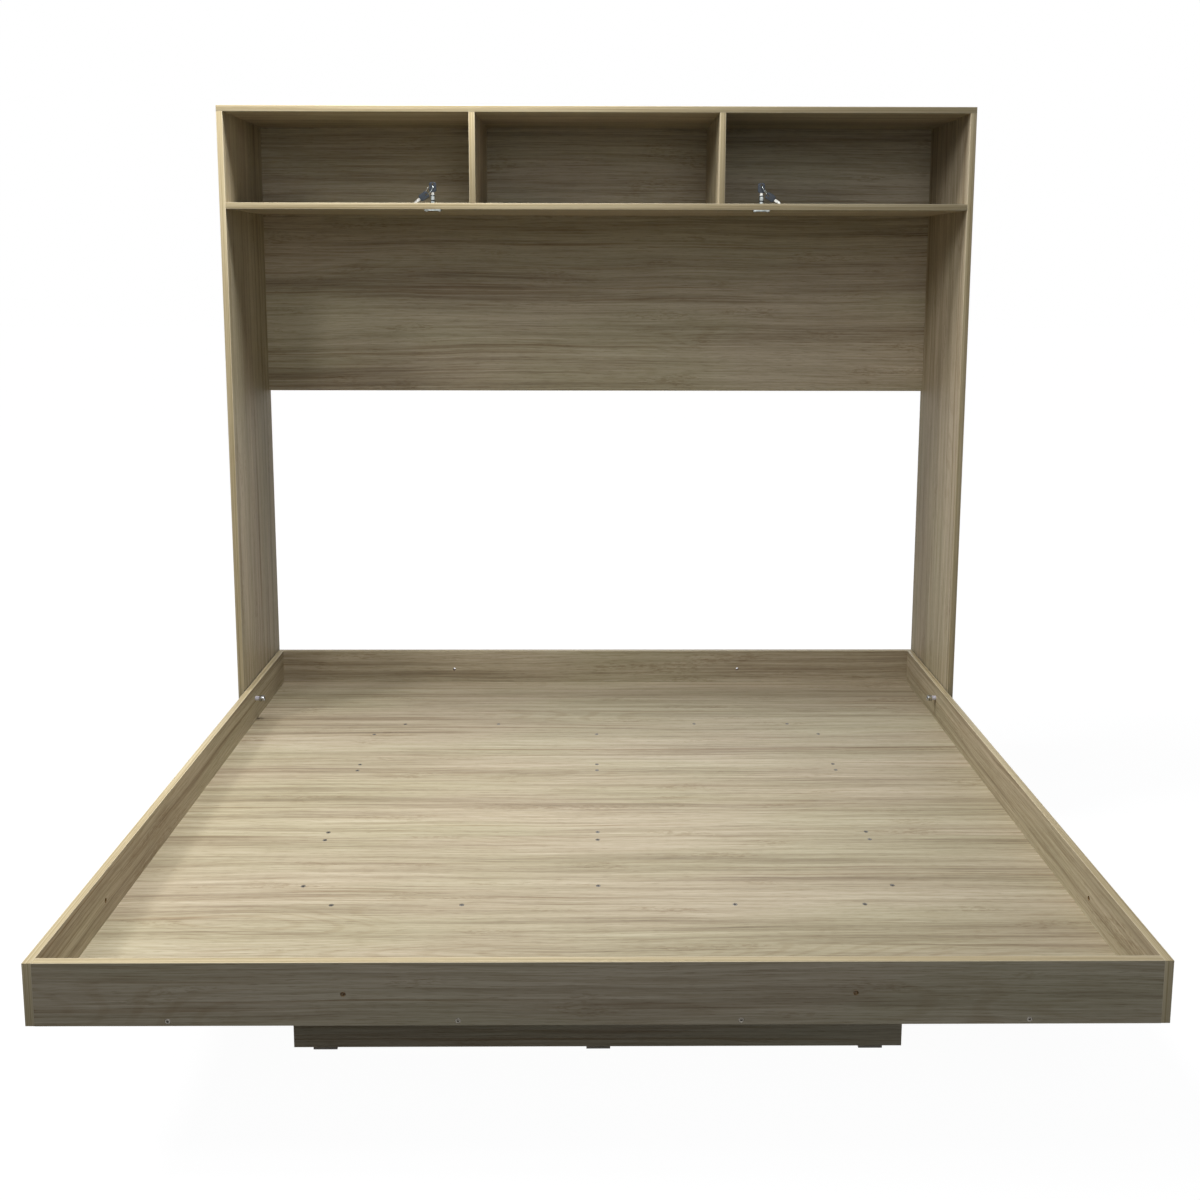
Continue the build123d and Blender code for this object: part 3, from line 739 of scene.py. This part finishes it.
def lock_housing(side):
    """One housing: the spun barrel with its bore, and a flange block with rounded corners."""
    node = side + "_lock_housing"
    low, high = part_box(node)
    axis = Vector(((low[0] + high[0]) / 2, (low[1] + high[1]) / 2, 0))
    shelf_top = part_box("lock_shelf")[1][2]
    top, rise = high[2], high[2] - shelf_top
    outer, bore, groove = barrel_radius, barrel_bore, barrel_groove
    profile = [(bore, low[2]), (outer, low[2])]
    for start, end in ((top - 0.75 * rise, top - 0.63 * rise), (top - 0.15 * rise, top - 0.09 * rise)):
        profile += [(outer, start - groove / 2), (outer - groove, start),
                    (outer - groove, end), (outer, end + groove / 2)]
    profile += [(outer, top - groove), (outer - groove, top), (bore + bore_lead, top),
                (bore, top - bore_lead), (bore, low[2])]
    barrel = spun(side + "_barrel", profile, barrel_segments)
    barrel.data.transform(Matrix.Translation(axis))
    flange = block(side + "_flange", low, (high[0], high[1], low[2] + flange_thickness))
    bpy.ops.object.mode_set(mode="EDIT")
    pick(flange, True, lambda edge: abs(edge.verts[0].co.z - edge.verts[1].co.z) > 0.001)
    bpy.ops.mesh.bevel(offset=flange_corner, segments=6, affect="EDGES")
    pick(flange, True, lambda edge: all(v.co.z < low[2] + 1e-5 for v in edge.verts))
    bpy.ops.mesh.bevel(offset=flange_rounding, segments=3, affect="EDGES")
    bpy.ops.object.mode_set(mode="OBJECT")
    bpy.ops.object.select_all(action="DESELECT")
    bpy.ops.mesh.primitive_cylinder_add(vertices=barrel_segments, radius=bore, depth=0.03,
                                        location=(axis.x, axis.y, low[2]))
    drilled(flange, bpy.context.object)
    housing = joined([barrel, flange], side + "_chrome_housing")
    finished(housing, chrome, node, "cabinet")
    # The faces at the bottom of the barrel's grooves take the second, near-black finish, which is
    # painted shade.
    housing.data.materials.append(groove_painted_shade)
    for face in housing.data.polygons:
        reach = (face.center.xy - axis.xy).length
        if face.center.z > shelf_top and bore + 0.0006 < reach < outer - 0.6 * groove:
            face.material_index = 1 if face.center.z < top - 0.001 else 0


for side in ("left", "right"):
    lock_housing(side)
    dress(side + "_lock_core", bolt_steel)
    dress(side + "_lock_bolt", bolt_steel)

flange_screw_radius = 0.0035
dome_height = 0.0022
flange_shank = 0.00165
flange_shank_end = 0.0152
flange_screw_point = 0.0162
slot_size = (0.0042, 0.0008, 0.002)


def dome_screw():
    """A round-headed screw with its crown at Z = 0 and a cross slot."""
    crown = [(flange_screw_radius * math.sin(turn), -dome_height * (1 - math.cos(turn)))
             for turn in (0, math.pi / 8, math.pi / 4, 3 * math.pi / 8, math.pi / 2)]
    piece = spun("dome_screw", crown + [(flange_shank, -dome_height),
                                        (flange_shank, -flange_shank_end),
                                        (0, -flange_screw_point)], 24)
    for turn in (0, math.pi / 2):
        bpy.ops.object.select_all(action="DESELECT")
        bpy.ops.mesh.primitive_cube_add(size=1, location=(0, 0, 0), rotation=(0, 0, turn),
                                        scale=slot_size)
        drilled(piece, bpy.context.object)
    return piece


flange_screw = dome_screw()
flange_places = [(Vector(((low[0] + high[0]) / 2, (low[1] + high[1]) / 2, low[2])), (0, 0, -1))
                 for low, high in solids("lock_screws")]
finished(set_out(flange_screw, flange_places, "flange_screws"), chrome, "lock_screws", "cabinet")
bpy.data.objects.remove(flange_screw)


# The keys: nickel-plated blades with a milled groove, moulded heads of dark blue plastic with a
# grip line and a hole, and a split ring that joins the key in the lock to its spare.
key_head_size = (0.019, 0.004, 0.026)
key_corner = 0.005
key_edge = 0.0007
key_hole = 0.0028
key_hole_inset = 0.0055
key_neck = 0.0064
key_reach = 0.0116
blade_width = 0.0064
blade_thickness = 0.002
grip_width = 0.001
grip_depth = 0.0004
shoulder_size = (0.0084, 0.00168, 0.0017)
shoulder_lift = 0.0003
bit_depths = (0.0012, 0.002, 0.0008, 0.0016)
mill_start = 0.0004
mill_end = 0.0014
mill_depth = 0.0004
blade_overlap = 0.001
hole_height = key_neck + key_head_size[2] - key_hole_inset


def key_head():
    """The head in the XZ plane above Z = 0, where the core's top is."""
    half_width, half_depth, height = (key_head_size[0] / 2, key_head_size[1] / 2, key_head_size[2])
    head = block("key_head", (-half_width, -half_depth, key_neck),
                 (half_width, half_depth, key_neck + height))
    bpy.ops.object.mode_set(mode="EDIT")
    pick(head, True, lambda edge: abs(edge.verts[0].co.y - edge.verts[1].co.y) > half_depth)
    bpy.ops.mesh.bevel(offset=key_corner, segments=8, affect="EDGES")
    pick(head, True, lambda edge: abs(edge.verts[0].co.y - edge.verts[1].co.y) < 1e-6)
    bpy.ops.mesh.bevel(offset=key_edge, segments=3, affect="EDGES")
    bpy.ops.object.mode_set(mode="OBJECT")
    bpy.ops.object.select_all(action="DESELECT")
    bpy.ops.mesh.primitive_cylinder_add(vertices=32, radius=key_hole, depth=0.01,
                                        location=(0, 0, hole_height), rotation=(math.pi / 2, 0, 0))
    drilled(head, bpy.context.object)
    middle = key_neck + height / 2
    for side in (-1, 1):
        groove = block("groove", (-half_width - 0.001, side * half_depth - grip_depth,
                                  middle - 1.5 * grip_width),
                       (half_width + 0.001, side * half_depth + grip_depth,
                        middle - 0.5 * grip_width))
        drilled(head, groove)
    return head


def key_blade():
    """The blade: a shouldered flat with cut bits below Z = 0 and a groove milled on both faces."""
    half = blade_width / 2
    blade = block("key_blade", (-half, -blade_thickness / 2, -key_reach + half),
                  (half, blade_thickness / 2, key_neck + blade_overlap))
    bpy.ops.object.mode_set(mode="EDIT")
    pick(blade, False, lambda face: face.normal.z < -0.9)
    bpy.ops.mesh.extrude_region_move(TRANSFORM_OT_translate={"value": (0, 0, -half)})
    bpy.ops.transform.resize(value=(0.08, 1, 1))
    bpy.ops.object.mode_set(mode="OBJECT")
    width, depth, height = shoulder_size
    shoulder = block("shoulder", (-width / 2, -depth / 2, shoulder_lift),
                     (width / 2, depth / 2, shoulder_lift + height))
    for index, depth in enumerate(bit_depths):
        bpy.ops.object.select_all(action="DESELECT")
        bpy.ops.mesh.primitive_cube_add(
            size=2 * depth / math.sqrt(2), rotation=(0, math.pi / 4, 0),
            location=(-half, 0, -(index + 0.7) * (key_reach - half) / len(bit_depths)))
        drilled(blade, bpy.context.object)
    for side in (-1, 1):
        groove = block("groove", (mill_start, side * blade_thickness / 2 - mill_depth, -key_reach),
                       (mill_end, side * blade_thickness / 2 + mill_depth,
                        key_neck + blade_overlap))
        drilled(blade, groove)
    return joined([blade, shoulder], "key_blade")


ring_radius = 0.015
ring_wire = 0.00045
ring_steps = 64
ring_crossing = 8  # steps over which one coil climbs to the next
ring_gap = 4  # steps left open at the ends of the wire
ring_turn = {"left": 30.0, "right": 14.0}  # degrees about the line between the two key holes


def split_ring():
    """A split ring about Z: two coils of wire side by side, which step over at one place."""
    bpy.ops.object.select_all(action="DESELECT")
    bpy.ops.mesh.primitive_circle_add(vertices=12, radius=ring_wire, fill_type="NGON",
                                      location=(ring_radius, 0, -ring_wire),
                                      rotation=(math.pi / 2, 0, 0))
    ring = bpy.context.object
    bpy.ops.object.transform_apply(location=True, rotation=True, scale=True)
    climb = 2 * ring_wire / ring_crossing
    bpy.ops.object.mode_set(mode="EDIT")
    bpy.ops.mesh.select_all(action="SELECT")
    for step in range(2 * ring_steps - ring_gap):
        crossing = ring_steps - ring_crossing <= step < ring_steps
        bpy.ops.mesh.extrude_region_move(
            TRANSFORM_OT_translate={"value": (0, 0, climb if crossing else 0)})
        bpy.ops.transform.rotate(value=-math.tau / ring_steps, orient_axis="Z",
                                 center_override=(0, 0, 0))
    bpy.ops.mesh.select_all(action="SELECT")
    bpy.ops.mesh.normals_make_consistent(inside=False)
    bpy.ops.object.mode_set(mode="OBJECT")
    return ring


def moved(master, matrix, name):
    """A copy of a piece with its own mesh, moved as the matrix says."""
    copy = master.copy()
    copy.data = master.data.copy()
    bpy.context.collection.objects.link(copy)
    copy.data.transform(matrix)
    copy.name = name
    return copy


def joint_place(name):
    """Where a joint of the frame is."""
    return next(Vector(joint["pos_m"]) for joint in frame["joints"] if joint["name"] == name)


def farthest(node, point):
    """The corner of a CAD node that lies farthest from a point."""
    corners = (vertex.co for vertex in frame["nodes"][node].data.vertices)
    return max(corners, key=lambda corner: (corner - point).length).copy()


head_master, blade_master, ring_master = key_head(), key_blade(), split_ring()
key_plastic = plastic("blue_black_plastic", (18, 26, 34), (34, 45, 56), 0.36)
key_steel = metal("key_nickel", (164, 162, 154), (206, 204, 196), 0.24, 900.0)
for side in ("left", "right"):
    hole = joint_place(side + "_ring_swing")
    spare_hole = joint_place(side + "_spare_key_swing")
    key_tip = farthest(side + "_spare_key_blade", spare_hole) - spare_hole
    lean = math.atan2(-key_tip.x, -key_tip.z)
    hang = Matrix.Translation((0, 0, -hole_height))
    for prefix, place, body in (
            (side + "_key", Matrix.Translation(hole) @ hang, side + "_lock_core"),
            (side + "_spare_key", Matrix.Translation(spare_hole)
             @ Matrix.Rotation(lean, 4, "Y") @ hang, side + "_spare_key")):
        finished(moved(head_master, place, prefix + "_moulding"), key_plastic,
                 prefix + "_head", body)
        finished(moved(blade_master, place, prefix + "_flat"), key_steel,
                 prefix + "_blade", body)
    along = (spare_hole - hole).normalized()
    across = Vector((0, 1, 0)).cross(along)
    twist = math.copysign(math.radians(ring_turn[side]), across.z)
    tangent = Vector((0, 1, 0)) * math.cos(twist) + across * math.sin(twist)
    axis = along.cross(tangent)
    turn = Matrix((along, axis.cross(along), axis)).transposed().to_4x4()
    finished(moved(ring_master, Matrix.Translation((hole + spare_hole) / 2) @ turn,
                   side + "_split_ring"), chrome, side + "_key_ring", side + "_key_ring")
for master in (head_master, blade_master, ring_master):
    bpy.data.objects.remove(master)


# The floor and what lies behind it: a plain pale studio, which shows white round the bed and
# keeps a faint shadow of it.
floor_size = 60
near_glow = 0.965
far_glow = 1.0
bpy.ops.object.select_all(action="DESELECT")
bpy.ops.mesh.primitive_plane_add(size=floor_size, location=(0, 0, 0))
floor = bpy.context.object
floor.name = "floor"


def seen(tree):
    """One for what the camera sees, itself or in a mirror or through glass, and otherwise none."""
    path = added(tree, "ShaderNodeLightPath")
    direct = worked(tree, "MAXIMUM", path.outputs["Is Camera Ray"], path.outputs["Is Glossy Ray"])
    return worked(tree, "MAXIMUM", direct, path.outputs["Is Transmission Ray"])


floor_material, floor_tree, floor_shader = fresh("floor_finish")
floor_tree.nodes.remove(floor_shader)
lit = added(floor_tree, "ShaderNodeBsdfDiffuse", {"Color": (0.12, 0.12, 0.12, 1)})
floor_place = added(floor_tree, "ShaderNodeTexCoord").outputs["Object"]
distance = added(floor_tree, "ShaderNodeVectorMath", {0: floor_place}, operation="LENGTH")
brightness = eased(floor_tree, distance.outputs["Value"], 1.6, 4.0, near_glow, far_glow)
glow = added(floor_tree, "ShaderNodeEmission", {"Color": (1, 1, 1, 1), "Strength": brightness})
shown = added(floor_tree, "ShaderNodeAddShader", {0: lit.outputs[0], 1: glow.outputs[0]})
unseen = added(floor_tree, "ShaderNodeBsdfDiffuse", {"Color": (0.06, 0.06, 0.06, 1)})
both = added(floor_tree, "ShaderNodeMixShader", {
    0: seen(floor_tree), 1: unseen.outputs[0], 2: shown.outputs[0]})
floor_tree.links.new(both.outputs[0], floor_tree.nodes["Material Output"].inputs["Surface"])
floor.data.materials.append(floor_material)

world = bpy.data.worlds.new("studio")
bpy.context.scene.world = world
world.use_nodes = True
sky = world.node_tree.nodes["Background"]
white = added(world.node_tree, "ShaderNodeBackground", {"Color": (1, 1, 1, 1), "Strength": 1.0})
sky.inputs["Color"].default_value = (0.85, 0.96, 1.15, 1)
sky.inputs["Strength"].default_value = 0.02
around = added(world.node_tree, "ShaderNodeMixShader", {
    0: seen(world.node_tree), 1: sky.outputs[0], 2: white.outputs[0]})
world.node_tree.links.new(around.outputs[0], world.node_tree.nodes["World Output"].inputs[0])


def lamp(name, place, aim, size, power, tint):
    """A square soft light that faces a point."""
    data = bpy.data.lights.new(name, "AREA")
    data.size = size
    data.energy = power
    data.color = tint
    made = bpy.data.objects.new(name, data)
    bpy.context.collection.objects.link(made)
    made.location = place
    made.rotation_euler = (Vector(aim) - Vector(place)).to_track_quat("-Z", "Y").to_euler()


plain_white = (1.0, 1.0, 1.0)
cool_white = (0.94, 0.99, 1.08)
lamp("ceiling_light", (-2.7, -0.8, 3.0), (-1.0, -0.5, 0.0), 0.6, 36, plain_white)
lamp("near_ceiling_light", (-1.8, -1.5, 3.0), (-0.8, -0.5, 0.0), 0.5, 13, plain_white)
lamp("shelf_light", (-0.5, 0.35, 3.0), (-0.5, 0.35, 0.0), 0.8, 66, plain_white)
lamp("side_fill", (0.8, -4.0, 3.2), (0.2, 0.0, 0.6), 2.0, 24, cool_white)
lamp("front_fill", (0.0, -4.5, 2.0), (0.0, 0.0, 0.8), 3.0, 18, cool_white)
lamp("back_fill", (0.6, 4.6, 2.4), (0.2, 0.8, 1.0), 2.5, 32, cool_white)

bpy.context.scene.view_settings.view_transform = "Standard"
